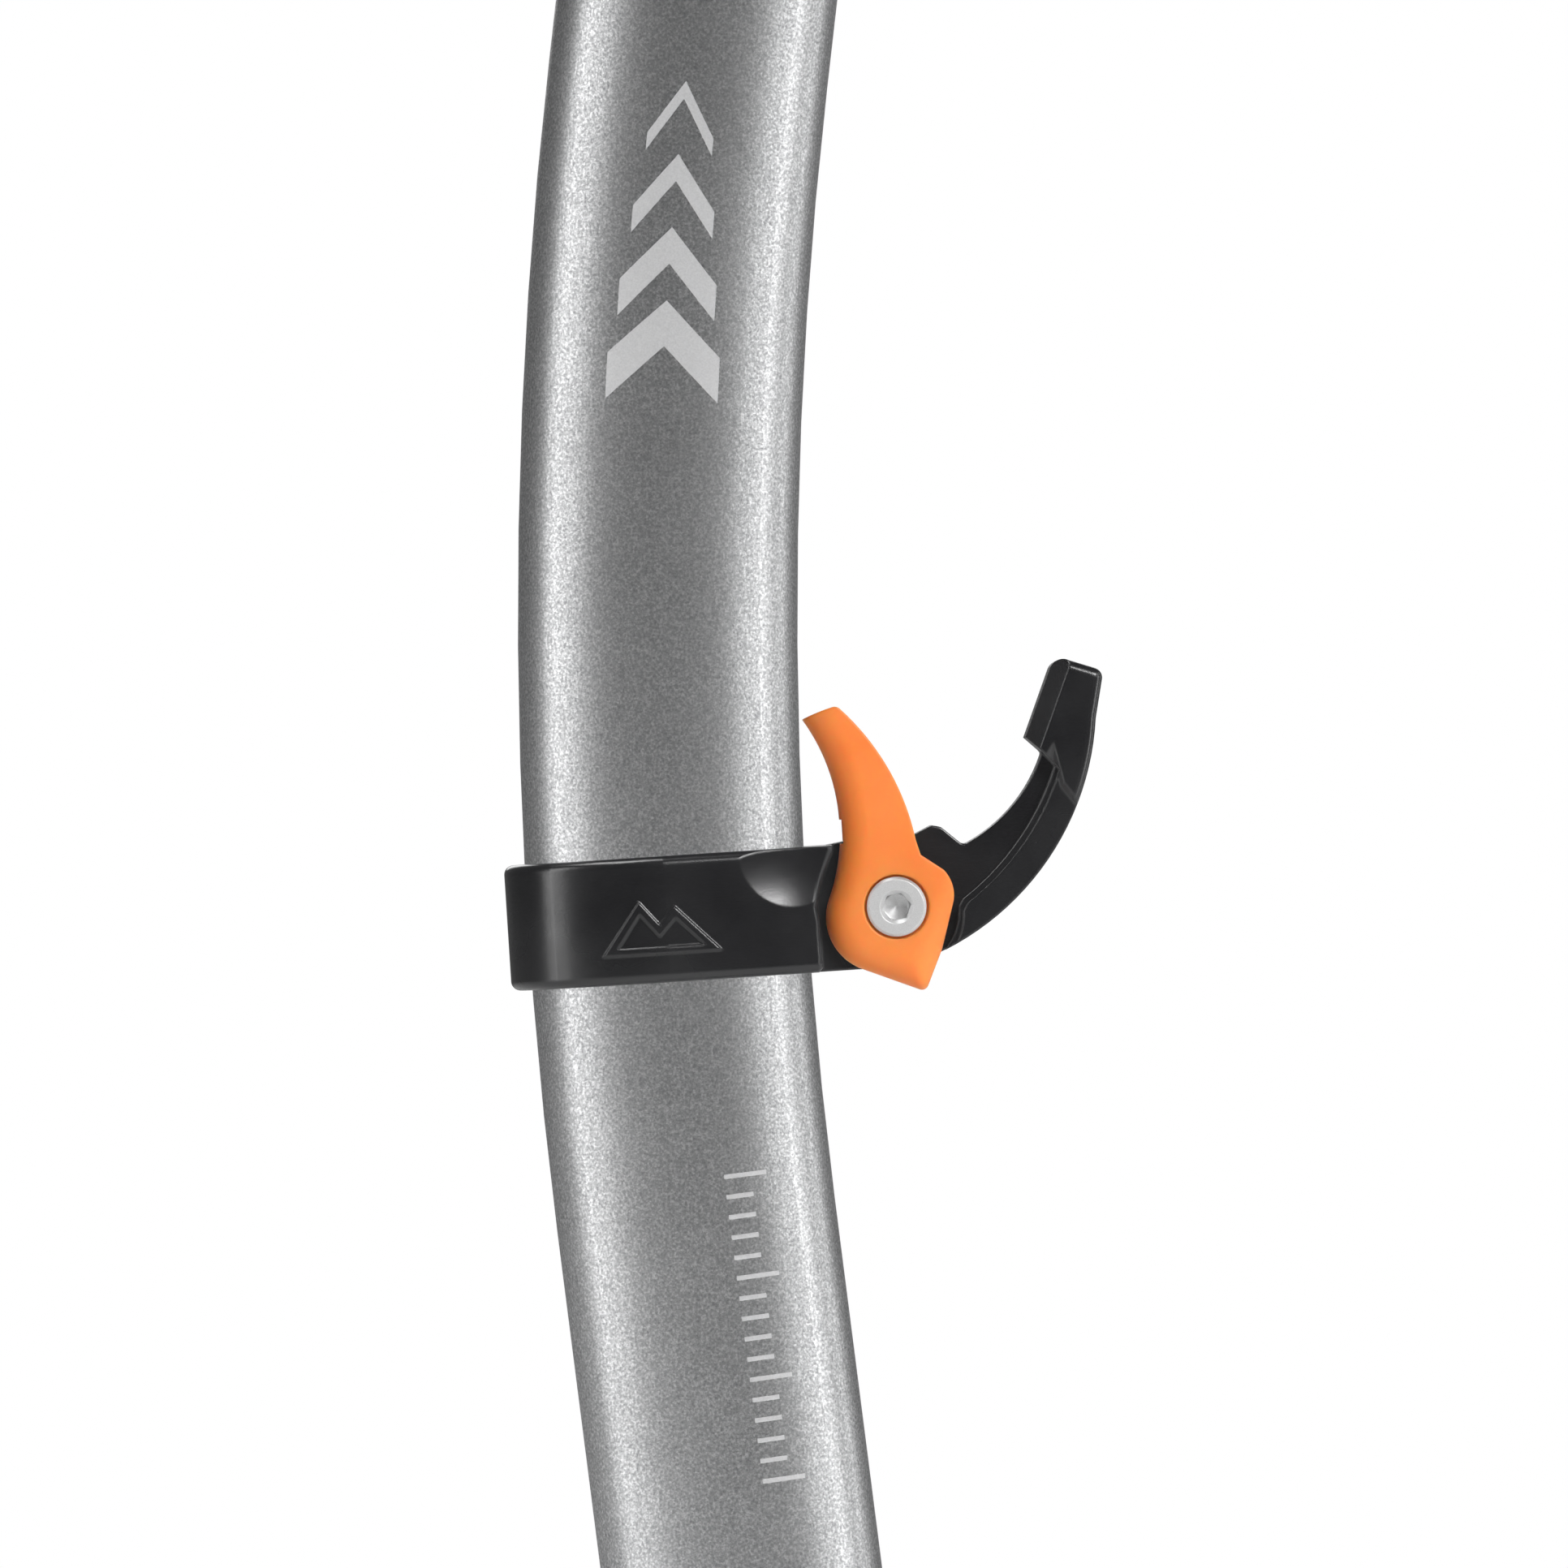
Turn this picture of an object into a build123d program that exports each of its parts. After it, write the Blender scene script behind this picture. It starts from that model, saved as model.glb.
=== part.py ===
"""Technical mountaineering ice axe: bent oval shaft, modular head, spike and a sliding hand rest.

Frame: +X towards the pick, +Z up towards the head, Y across. Origin at the centre of the head eye.
Units are millimetres and degrees. Every piece is written to its own file in parts/.
"""

import os
from math import atan2, cos, degrees, hypot, radians, sin

from build123d import *

# ---- driving dimensions: shaft ----
SHAFT_DEPTH = 33.0          # fore and aft
SHAFT_WIDTH = 23.0          # across
SHAFT_END_R = 9.5           # radius of the section's front and back
SHAFT_WALL = 1.8
BEND_R = 560.0              # centreline radius of the bend, centre on the pick side
BEND_UP = 6.5               # degrees of bend above the point where the shaft runs vertically
BEND_DOWN = 7.3             # degrees of bend below it
UPPER_RUN = 100.0           # straight tube above the bend
LOWER_RUN = 186.0           # straight grip below the bend
INSERT_GAP = 0.05           # glue line between the tube and what is glued into it

# ---- head ----
COLLAR_LIP = 1.2            # how far the head's collar stands proud of the tube
COLLAR_H = 6.0
NECK_H = 24.0               # height where the collar has become the slotted crown
HEAD_H = 50.0
HEAD_ROUND = 2.5            # rounding of the crown's top
CROWN_DEPTH = 46.0
CROWN_WIDTH = 18.0
CROWN_CORNER_R = 6.0
TENON_L = 42.0
TENON_WALL = 4.0            # the tenon is cored out to this wall, apart from its rivet bosses
BOSS_H = 10.0
SLOT_FLOOR = 25.0
BLADE_T = 4.0               # pick and adze tang thickness
SLOT_GAP = 0.05             # clearance on each side of a blade in its slot
EYE_R = 7.5
EYE_H = 15.0                # height of the eye above the shaft's top
EYE_LENGTH = 16.0
EYE_FACE_R = 10.5

# ---- head fasteners ----
BOLT_R = 3.0
BOLT_GAP = 0.15
BOLT_HEAD_R = 5.0
BOLT_HEAD_H = 3.4
NUT_FLATS = 10.0
NUT_H = 3.4
RECESS_GAP = 0.2
PICK_BOLT_FRONT = (14.5, 35.0)
PICK_BOLT_REAR = (1.0, 40.0)
ADZE_BOLT = (-14.0, 37.0)
BLADE_SPLIT = -7.0          # where the pick's tang ends and the adze's begins

# ---- pick ----
PICK_TOP = 49.4
PICK_THROAT = (25.0, 27.0)
PICK_TIP_TOP = (165.0, -35.0)
PICK_POINT = (164.0, -46.0)
PICK_TOP_BOW = 13.0         # how far the spine bows above its chord
PICK_BELLY_BOW = 12.0
PICK_NOTCH = (-9.0, 9.5)    # start of the teeth behind the point, from the point
TEETH = 15
TOOTH_DEPTH = 3.0
TOOTH_LEAN = 0.18           # where a tooth's crest stands, as a share of its pitch
TEETH_FROM = 0.36           # share of the belly that stays smooth behind the teeth
GRIND_ANGLE = 2.2           # each side of the point is ground down at this angle
GRIND_DEPTH = 1.1

# ---- adze ----
ADZE_END = (-97.0, 17.0)
ADZE_BOW = 9.0
ADZE_T = 3.2
ADZE_ROOT_W = 17.0
ADZE_EDGE_W = 62.0
ADZE_EDGE_BOW = 6.0         # the cutting edge stands out this far in its middle
ADZE_RIB_REACH = 0.72       # share of the blade's length that its rib stiffens

# ---- spike ----
FERRULE_IN = 36.0
FERRULE_OUT = 15.0
FERRULE_LIP = 4.0
SPIKE_T = 5.0
SPIKE_W = 24.0
TANG_W = 20.0
SPIKE_OUT = 49.0
SPIKE_TIP = 1.2             # half-width of the blunt tip
SPIKE_GRIND = 6.0           # each side of the tip is ground down at this angle
SPIKE_EYE_R = 6.0
SPIKE_EYE_DROP = 26.0
RIVET_R = 2.25
RIVET_HEAD_R = 4.2
RIVET_HEAD_H = 1.5
HEAD_RIVETS = (-13.0, -31.0)
SPIKE_RIVETS = (8.0, 25.0)

# ---- hand rest: ring ----
REST_ANGLE = -3.7           # where the rest sits on the bend
RING_H = 14.8
RING_WALL = 2.4
RING_GAP = 0.3              # play between the ring and the tube
PIVOT = (27.0, -0.3)        # pivot ahead of the tube's centreline, and above the ring's middle
RING_SHOULDER = (-9.1, 12.5)   # where the ring's flank ends: ahead of the pivot, and half-width there
RING_EDGE_R = 1.1
BADGE_PLACE = (-0.7, -1.2)
BADGE_PROUD = 0.35
SCOOP_PLACE = (-10.0, 7.0)  # thumb scoop in the ring's upper front corners, from the pivot
SCOOP_R = 24.0
SCOOP_DEPTH = 0.7
SHOULDER_CHAMFER = 0.45

# ---- hand rest: hook, with points about the pivot ----
HOOK_EDGE_R = 1.0
CREST = (20.4, 28.2)        # inner top corner of the hook's nose
NOSE_BEVEL = (2.1, 2.2)     # towards the finger gap: along the face, and across
RIM_DROP = 0.7              # the rim round the lever's recess lies lower than the nose
RIM_LINE = ((19.3, 16.4), (20.0, 12.9), (21.6, 10.6))   # where the nose slopes down to it
STEP_LIP = 1.5              # depth of the shallow ledge inside that rim, from the nose's face
STEP_SHIFT = (0.5, -0.5)

# ---- hand rest: levels across, as half-widths ----
ROOT_Y = 6.8                # ears and arm web, inside the lever's fork
FORK_Y = 7.1                # inner faces of the lever's cheeks
LEVER_Y = 11.0
HOOK_Y = 10.6
POCKET_Y = 3.6              # cam pocket inside the root
CAM_Y = 3.4
CHEEK_FLOOR_Y = 8.5         # bottom of the screw and nut recesses

# ---- hand rest: radii about the pivot ----
LEVER_TIP_R = 24.6
CATCH_R = 24.95             # underside of the hook's nose, which the lever's tip passes
LOBE_R = 8.4
LOBE_TOP = (-7.85, 1.4)     # where the lobe runs into the thumb side, about the pivot
THUMB_HOLLOW = (-6.1, 12.2) # deepest point of the thumb side
THUMB_WALL = 2.5            # wall on the thumb side of the lever's channel
WALL_FOOT = 10.6            # height where that wall ends and the fork opens
ROOT_CLEAR_R = 9.3          # the ring's flank is cut back to this above the pivot
HUB_CLEAR_R = 7.75
LEVER_TRAVEL = 63.0

# ---- hand rest: clamp ----
CAM_R = 4.75
CAM_OFFSET = 0.57           # eccentricity of the cam
CAM_START = -58.0           # direction of the eccentricity with the lever open
CAM_POCKET_R = 5.65
CAM_GAP = 0.05
SLEEVE_FLATS = 5.5
SLEEVE_END_Y = 8.3
SLEEVE_BORE_R = 2.1
EAR_BORE_R = 3.25
SHOE_HALF_H = 5.0
SHOE_GAP = 0.1
PAD_BACK = -8.6             # joint between the shoe and its pad, ahead of the pivot
SCREW_R = 2.0
SCREW_HEAD_R = 3.5
SCREW_HEAD_H = 2.4
SOCKET_FLATS = 3.0
SOCKET_DEPTH = 1.5
SOCKET_TURN = 8.0           # how the hexagon happens to stand
SCREW_NUT_FLATS = 7.0
SCREW_NUT_H = 2.2
FIT_GAP = 0.1


# ---- frames ----
def bend_point(angle):
    """Centreline of the bend, with the vertical point of the shaft at the origin."""
    return Vector(BEND_R * (1 - cos(radians(angle))), 0, BEND_R * sin(radians(angle)))


def along(angle):
    return Vector(sin(radians(angle)), 0, cos(radians(angle)))


def ahead(angle):
    return Vector(cos(radians(angle)), 0, -sin(radians(angle)))


SHAFT_TOP = bend_point(BEND_UP) + along(BEND_UP) * UPPER_RUN
SHAFT_FOOT = bend_point(-BEND_DOWN) - along(-BEND_DOWN) * LOWER_RUN
EYE = SHAFT_TOP + along(BEND_UP) * EYE_H
TO_ROW = Pos(-EYE.X, 0, -EYE.Z)


def frame_at(point, angle):
    """Local x ahead, y across and z up the shaft, in the row frame."""
    return TO_ROW * Plane(origin=point, x_dir=ahead(angle), z_dir=along(angle)).location


HEAD = frame_at(SHAFT_TOP, BEND_UP)
FOOT = frame_at(SHAFT_FOOT, -BEND_DOWN)
RING = frame_at(bend_point(REST_ANGLE), REST_ANGLE)
REST = RING * Pos(PIVOT[0], 0, PIVOT[1])


# ---- small builders ----
STANDING = (Align.CENTER, Align.CENTER, Align.MIN)


def polar(radius, angle):
    return radius * cos(radians(angle)), radius * sin(radians(angle))


def slab(face, half):
    """A side-view face made into a plate, half thick each way from the middle."""
    return extrude(Plane.XZ * face, half, both=True)


def layer(face, low, high):
    """A side-view face filling y from low to high."""
    return Pos(0, high, 0) * extrude(Plane.XZ * face, high - low)


def both_sides(face, low, high):
    return layer(face, low, high) + layer(face, -high, -low)


def cross_pin(radius, low, high):
    """A round bar along Y."""
    return layer(Circle(radius), low, high)


def hexagon(flats, turn=0.0):
    return Rot(0, 0, turn) * RegularPolygon(flats / 2, 6, major_radius=False)


def bowed(start, end, bow):
    """An arc from start to end that stands off its chord by bow, to the left when bow is positive."""
    dx, dy = end[0] - start[0], end[1] - start[1]
    length = hypot(dx, dy)
    middle = Vector(start[0] + end[0], start[1] + end[1]) / 2 + Vector(-dy, dx) * (bow / length)
    return ThreePointArc(start, middle, end)


def at(point, shape):
    return Pos(point[0], 0, point[1]) * shape


def oval(half_depth, half_width, end_r):
    """Four tangent arcs: tight ends and flatter sides."""
    d, c = half_depth - end_r, half_width - end_r
    k = (d * d - c * c) / (2 * c)
    x, y = d + end_r * d / hypot(d, k), end_r * k / hypot(d, k)
    edges = [
        ThreePointArc((-x, y), (0, half_width), (x, y)),
        ThreePointArc((x, y), (half_depth, 0), (x, -y)),
        ThreePointArc((x, -y), (0, -half_width), (-x, -y)),
        ThreePointArc((-x, -y), (-half_depth, 0), (-x, y)),
    ]
    return make_face(edges)


def tube_section(grow=0.0):
    return oval(SHAFT_DEPTH / 2 + grow, SHAFT_WIDTH / 2 + grow, SHAFT_END_R + grow)


# ---- shaft ----
def make_shaft():
    low, high = bend_point(-BEND_DOWN), bend_point(BEND_UP)
    path = Wire([
        Edge.make_line(SHAFT_FOOT, low),
        Edge.make_three_point_arc(low, Vector(0, 0, 0), high),
        Edge.make_line(high, SHAFT_TOP),
    ])
    start = Plane(origin=SHAFT_FOOT, x_dir=ahead(-BEND_DOWN), z_dir=along(-BEND_DOWN))
    walls = [sweep(start * tube_section(grow), path) for grow in (0.0, -SHAFT_WALL)]
    tube = TO_ROW * (walls[0] - walls[1])
    for place, heights in ((HEAD, HEAD_RIVETS), (FOOT, SPIKE_RIVETS)):
        for z in heights:
            tube -= place * at((0, z), cross_pin(RIVET_R + INSERT_GAP, -SHAFT_WIDTH, SHAFT_WIDTH))
    return tube


# ---- head ----
def crown_section():
    return RectangleRounded(CROWN_DEPTH, CROWN_WIDTH, CROWN_CORNER_R)


def make_head_body():
    lip = tube_section(COLLAR_LIP)
    body = extrude(Pos(0, 0, -TENON_L) * tube_section(-SHAFT_WALL - INSERT_GAP), TENON_L)
    body += extrude(lip, COLLAR_H)
    body += loft([Pos(0, 0, COLLAR_H) * lip, Pos(0, 0, NECK_H) * crown_section()])
    crown = extrude(Pos(0, 0, NECK_H) * crown_section(), HEAD_H - NECK_H)
    body += fillet(crown.edges().group_by(Axis.Z)[-1], HEAD_ROUND)
    body -= Pos(0, 0, SLOT_FLOOR) * Box(2 * CROWN_DEPTH, BLADE_T + 2 * SLOT_GAP, HEAD_H, align=STANDING)
    body -= at((0, EYE_H), cross_pin(EYE_R, -SHAFT_WIDTH, SHAFT_WIDTH))
    body -= at((0, EYE_H), both_sides(Circle(EYE_FACE_R), EYE_LENGTH / 2, SHAFT_WIDTH))
    head_low, nut_low = CROWN_WIDTH / 2 - BOLT_HEAD_H, CROWN_WIDTH / 2 - NUT_H
    for place in (PICK_BOLT_FRONT, PICK_BOLT_REAR, ADZE_BOLT):
        body -= at(place, cross_pin(BOLT_R + BOLT_GAP, -SHAFT_WIDTH, SHAFT_WIDTH))
        body -= at(place, cross_pin(BOLT_HEAD_R + RECESS_GAP, -SHAFT_WIDTH, -head_low))
        body -= at(place, layer(hexagon(NUT_FLATS + 2 * RECESS_GAP), nut_low, SHAFT_WIDTH))
    for z in HEAD_RIVETS:
        body -= at((0, z), cross_pin(RIVET_R + INSERT_GAP, -SHAFT_WIDTH, SHAFT_WIDTH))
    core = Pos(0, 0, -TENON_L) * extrude(tube_section(-SHAFT_WALL - TENON_WALL), TENON_L - TENON_WALL)
    rivet_bosses = [Pos(0, 0, z) * Box(SHAFT_DEPTH, SHAFT_WIDTH, BOSS_H) for z in HEAD_RIVETS]
    body -= core - rivet_bosses
    return HEAD * body


def belly_arc():
    """The pick's underside between its throat and the notch behind its point."""
    notch = (PICK_POINT[0] + PICK_NOTCH[0], PICK_POINT[1] + PICK_NOTCH[1])
    return bowed(PICK_THROAT, notch, PICK_BELLY_BOW)


def tooth_points():
    """Sawtooth points from the throat end to the tip: each tooth leans towards the shaft."""
    belly = belly_arc()
    points = []
    pitch = (1 - TEETH_FROM) / TEETH
    for i in range(TEETH):
        share = TEETH_FROM + pitch * i
        root = belly @ share
        run = belly % share
        crest = belly @ (share + TOOTH_LEAN * pitch)
        points.append((root.X, root.Y))
        points.append((crest.X + run.Y * TOOTH_DEPTH, crest.Y - run.X * TOOTH_DEPTH))
    return points


def make_pick():
    belly = belly_arc()
    teeth = tooth_points()
    spine_start = (CROWN_DEPTH / 2 - 1, PICK_TOP)
    notch = belly @ 1
    smooth = ThreePointArc(PICK_THROAT, belly @ (TEETH_FROM / 2), belly @ TEETH_FROM)
    floor = SLOT_FLOOR + FIT_GAP
    outline = [
        Polyline(PICK_THROAT, (CROWN_DEPTH / 2 - 3, floor), (BLADE_SPLIT, floor), (BLADE_SPLIT, PICK_TOP),
                 spine_start),
        bowed(spine_start, PICK_TIP_TOP, PICK_TOP_BOW),
        Polyline(PICK_TIP_TOP, PICK_POINT, (notch.X, notch.Y), *teeth[::-1]),
        smooth,
    ]
    blade = slab(make_face(outline), BLADE_T / 2)
    for place in (PICK_BOLT_FRONT, PICK_BOLT_REAR):
        blade -= at(place, cross_pin(BOLT_R + BOLT_GAP, -BLADE_T, BLADE_T))
    # the last stretch is ground down to a thin point from both sides
    run = atan2(PICK_TIP_TOP[1] - PICK_TOP, PICK_TIP_TOP[0] - spine_start[0])
    stone = Box(100, 20, 60)
    for side in (-1, 1):
        place = Pos(PICK_POINT[0], side * (BLADE_T / 2 + 10 - GRIND_DEPTH), PICK_POINT[1])
        blade -= place * Rot(0, degrees(-run), 0) * Rot(0, 0, side * -GRIND_ANGLE) * stone
    return HEAD * blade


def adze_plan():
    """The blade seen from above, flaring from its root to its cutting edge."""
    root_x, edge_x = -CROWN_DEPTH / 2 - 1, ADZE_END[0]
    half_root, half_edge = ADZE_ROOT_W / 2, ADZE_EDGE_W / 2
    flank = [(edge_x, half_edge), (root_x - 12, half_root + 1), (root_x + 2, half_root)]
    plan = make_face([
        Polyline(*[(x, -y) for x, y in flank], *flank[::-1]),
        ThreePointArc((edge_x, half_edge), (edge_x - ADZE_EDGE_BOW, 0), (edge_x, -half_edge)),
    ])
    return fillet(plan.vertices().sort_by(Axis.X)[2:4], 14)


def make_adze():
    root = (-CROWN_DEPTH / 2 - 1, PICK_TOP - 2)
    top = bowed(root, ADZE_END, -ADZE_BOW)
    drop = (ADZE_END[0] - 1.2, ADZE_END[1] - 0.6)
    under_end = (ADZE_END[0] + 0.2, ADZE_END[1] - ADZE_T - 0.4)
    under = bowed((root[0], root[1] - ADZE_T), under_end, -ADZE_BOW)
    strip = make_face([top, Polyline(ADZE_END, drop, under_end), under, Line(under @ 0, root)])
    blade = slab(strip, ADZE_EDGE_W) & extrude(Pos(0, 0, -20) * adze_plan(), 90)
    # the tang, which runs on as a rib under the blade
    rib_end = (top @ ADZE_RIB_REACH) - Vector(0, 1)
    rib_top, rib_foot = (root[0], PICK_TOP - 2.5), (-CROWN_DEPTH / 2 - 2, SLOT_FLOOR + 3)
    split, floor = BLADE_SPLIT - FIT_GAP, SLOT_FLOOR + FIT_GAP
    rib = make_face([
        Polyline(rib_top, (root[0] + 1, PICK_TOP), (split, PICK_TOP), (split, floor),
                 (-CROWN_DEPTH / 2 + 3, floor), rib_foot),
        bowed(rib_foot, (rib_end.X, rib_end.Y), -6),
        ThreePointArc(rib_end, (top @ (ADZE_RIB_REACH / 2)) - Vector(0, 1), rib_top),
    ])
    adze = blade + slab(rib, BLADE_T / 2)
    adze -= at(ADZE_BOLT, cross_pin(BOLT_R + BOLT_GAP, -BLADE_T, BLADE_T))
    return HEAD * adze


def head_bolt(place):
    """Low socket bolt: its head is on the near side and its shank ends flush in the nut."""
    face = CROWN_WIDTH / 2
    head = cross_pin(BOLT_HEAD_R, -face + 0.2, -face + BOLT_HEAD_H)
    head = chamfer(head.edges().sort_by(Axis.Y)[0], 0.5)
    bolt = head + cross_pin(BOLT_R, -face + BOLT_HEAD_H, face - 0.4)
    bolt -= layer(hexagon(5.0), -face, -face + 2.4)
    return HEAD * at(place, bolt)


def head_nut(place):
    face = CROWN_WIDTH / 2
    nut = layer(hexagon(NUT_FLATS), face - NUT_H + 0.02, face - 0.2) & cross_pin(NUT_FLATS * 0.56, 0, face)
    return HEAD * at(place, nut - cross_pin(BOLT_R + 0.02, 0, face))


def rivet(frame, z):
    """Through rivet with a low dome on each side of the tube."""
    half = SHAFT_WIDTH / 2
    dome_r = (RIVET_HEAD_R**2 + RIVET_HEAD_H**2) / (2 * RIVET_HEAD_H)
    pin = cross_pin(RIVET_R, -half, half)
    for side in (-1, 1):
        dome = Pos(0, side * (half + RIVET_HEAD_H - dome_r), 0) * Sphere(dome_r)
        pin += dome & both_sides(Circle(RIVET_HEAD_R), half, half + RIVET_HEAD_H)
    return frame * at((0, z), pin)


# ---- spike ----
def make_ferrule():
    """Plastic plug in the tube's foot. Its slot is wider outside, where the spike's shoulders sit."""
    outside = tube_section()
    tip = oval(SHAFT_DEPTH / 2 - 4.5, SHAFT_WIDTH / 2 - 5.0, SHAFT_END_R - 5.5)
    plug = extrude(tube_section(-SHAFT_WALL - INSERT_GAP), FERRULE_IN)
    plug += extrude(Pos(0, 0, -FERRULE_LIP) * outside, FERRULE_LIP)
    plug += loft([Pos(0, 0, -FERRULE_LIP) * outside, Pos(0, 0, -FERRULE_OUT) * tip])
    slot_w = SPIKE_T + 2 * SLOT_GAP
    mouth = Box(SPIKE_W + 2 * FIT_GAP, slot_w, 2 * FERRULE_OUT + FIT_GAP, align=STANDING)
    plug -= Pos(0, 0, -2 * FERRULE_OUT) * mouth
    plug -= Box(TANG_W + 2 * FIT_GAP, slot_w, FERRULE_IN + 1, align=STANDING)
    for z in SPIKE_RIVETS:
        plug -= at((0, z), cross_pin(RIVET_R + INSERT_GAP, -SHAFT_WIDTH, SHAFT_WIDTH))
    return FOOT * plug


def make_spike():
    half, tang, top = SPIKE_W / 2, TANG_W / 2, FERRULE_IN - 2
    cheek_z, curve = 2 - SPIKE_EYE_DROP, (8.6, -SPIKE_EYE_DROP - 11.5)
    shoulder = [(tang, top), (tang, 0), (half, 0), (half, cheek_z)]
    outline = [
        Polyline(*[(-x, z) for x, z in shoulder[::-1]], *shoulder),
        ThreePointArc((half, cheek_z), curve, (SPIKE_TIP, -SPIKE_OUT)),
        Line((SPIKE_TIP, -SPIKE_OUT), (-SPIKE_TIP, -SPIKE_OUT)),
        ThreePointArc((-SPIKE_TIP, -SPIKE_OUT), (-curve[0], curve[1]), (-half, cheek_z)),
    ]
    plate = slab(make_face(outline), SPIKE_T / 2)
    stone = Box(40, 20, 30)
    for side in (-1, 1):
        plate -= Pos(0, side * (SPIKE_T / 2 + 9.2), -SPIKE_OUT) * Rot(side * -SPIKE_GRIND, 0, 0) * stone
    plate -= at((0, -SPIKE_EYE_DROP), cross_pin(SPIKE_EYE_R, -SPIKE_T, SPIKE_T))
    for z in SPIKE_RIVETS:
        plate -= at((0, z), cross_pin(RIVET_R + INSERT_GAP, -SPIKE_T, SPIKE_T))
    return FOOT * plate


# ---- hand rest: outlines about the pivot, with the lever open ----
def thumb_arc():
    """The hollow thumb side, from the tip to the lobe."""
    return ThreePointArc(polar(LEVER_TIP_R, 113.0), THUMB_HOLLOW, LOBE_TOP)


def lever_outline():
    tip = polar(LEVER_TIP_R, 113.0)
    tip_front = polar(LEVER_TIP_R, 103.0)
    crotch = (2.75, 7.6)
    heel = (2.8, -10.2)
    lobe_low = polar(LOBE_R, -123.7)
    thumb = thumb_arc()
    face = make_face([
        ThreePointArc(tip, polar(LEVER_TIP_R, 108.0), tip_front),
        bowed(tip_front, crotch, 1.5),
        Polyline(crotch, (3.2, 5.9), (5.75, 4.0)),
        ThreePointArc((5.75, 4.0), (6.75, 1.9), (6.7, 0.2)),
        Polyline((6.7, 0.2), (5.0, -5.4), heel, lobe_low),
        thumb,
        TangentArc(LOBE_TOP, lobe_low, tangent=thumb % 1),
    ])
    face = fillet(face.vertices().sort_by_distance(Vector(*crotch, 0))[0], 1.0)
    face = fillet(face.vertices().sort_by_distance(Vector(*lobe_low, 0))[0], 4.0)
    face = fillet(face.vertices().sort_by_distance(Vector(*heel, 0))[0], 0.8)
    return fillet(face.vertices().sort_by_distance(Vector(*tip_front, 0))[0], 0.9)


def make_lever():
    outline = lever_outline()
    body = slab(outline, LEVER_Y)
    # the thumb side is generously rounded, the other edges only broken
    rims = body.edges().filter_by(lambda e: abs(abs(e.center().Y) - LEVER_Y) < 1e-3)
    thumb = rims.filter_by(lambda e: e.center().X < -4.0 and e.center().Z < 22.5)
    body = fillet(thumb, 3.2)
    # the channel that straddles the ears and the hook's web, walled on the thumb side above WALL_FOOT
    thumb = thumb_arc()
    channel = Pos(0, 10) * Rectangle(40, 60)
    behind = Pos(thumb.arc_center.X, thumb.arc_center.Y) * Circle(thumb.radius + THUMB_WALL)
    channel -= behind & Pos(0, WALL_FOOT + 15) * Rectangle(40, 30)
    body -= slab(channel, FORK_Y)
    body -= slab(Pos(-6.8, WALL_FOOT - 1.4) * Rectangle(2.1, 2.8), LEVER_Y)
    # seats for the keyed sleeve, the screw head and the nut
    body -= slab(hexagon(SLEEVE_FLATS + 2 * CAM_GAP), LEVER_Y)
    body -= cross_pin(SCREW_HEAD_R + 0.3, -LEVER_Y, -CHEEK_FLOOR_Y)
    body -= layer(hexagon(SCREW_NUT_FLATS + 2 * FIT_GAP), CHEEK_FLOOR_Y, LEVER_Y)
    return REST * body


def hook_outline():
    shelf_back, shelf_front, valley = (4.7, 9.25), (5.8, 9.0), (8.3, 6.7)
    lip = polar(CATCH_R + 0.05, 49.0)
    nook = polar(CATCH_R + 0.05, 43.0)
    brow = (26.0, 26.1)
    face = make_face([
        Polyline((-14, -6.6), (-14, 7.2), (-11, 7.2), (-5.4, 8.1), (2.7, 8.35), shelf_back, shelf_front,
                 valley),
        bowed(valley, nook, -1.45),
        Polyline(nook, lip, CREST, brow, (24.75, 20.6)),
        bowed((24.75, 20.6), (5.6, -5.35), 4.3),
        Polyline((5.6, -5.35), (1.5, -7.1), (-6, -7.1), (-11, -6.6), (-14, -6.6)),
    ])
    rounded = {CREST: 1.6, brow: 1.2, valley: 0.9, nook: 0.6, shelf_back: 0.6, shelf_front: 0.8}
    for point, radius in rounded.items():
        face = fillet(face.vertices().sort_by_distance(Vector(*point, 0))[0], radius)
    return face


def lever_room():
    """What the lever's cheeks sweep, beside the root and the arm's web."""
    shelf_top = polar(CATCH_R, 38.0)
    shelf_foot = (7.9, 0.4)
    hub_start = polar(HUB_CLEAR_R - 0.4, -4.0)
    hub_end = polar(HUB_CLEAR_R, -60.0)
    left, _ = RING_SHOULDER
    ring_side = polar(ROOT_CLEAR_R, 177.0)
    ring_top = (-7.15, 6.95)
    return make_face([
        bowed(shelf_top, shelf_foot, 1.45),
        Line(shelf_foot, hub_start),
        ThreePointArc(hub_start, polar(HUB_CLEAR_R - 0.15, -34.0), hub_end),
        Polyline(hub_end, (hub_end[0], -14), (left, -14), (left, -1), ring_side),
        ThreePointArc(ring_side, polar(ROOT_CLEAR_R + 0.05, 153.0), ring_top),
        Polyline(ring_top, (ring_top[0], 20), polar(CATCH_R, 100.0)),
        ThreePointArc(polar(CATCH_R, 100.0), polar(CATCH_R, 69.0), shelf_top),
    ])


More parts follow.
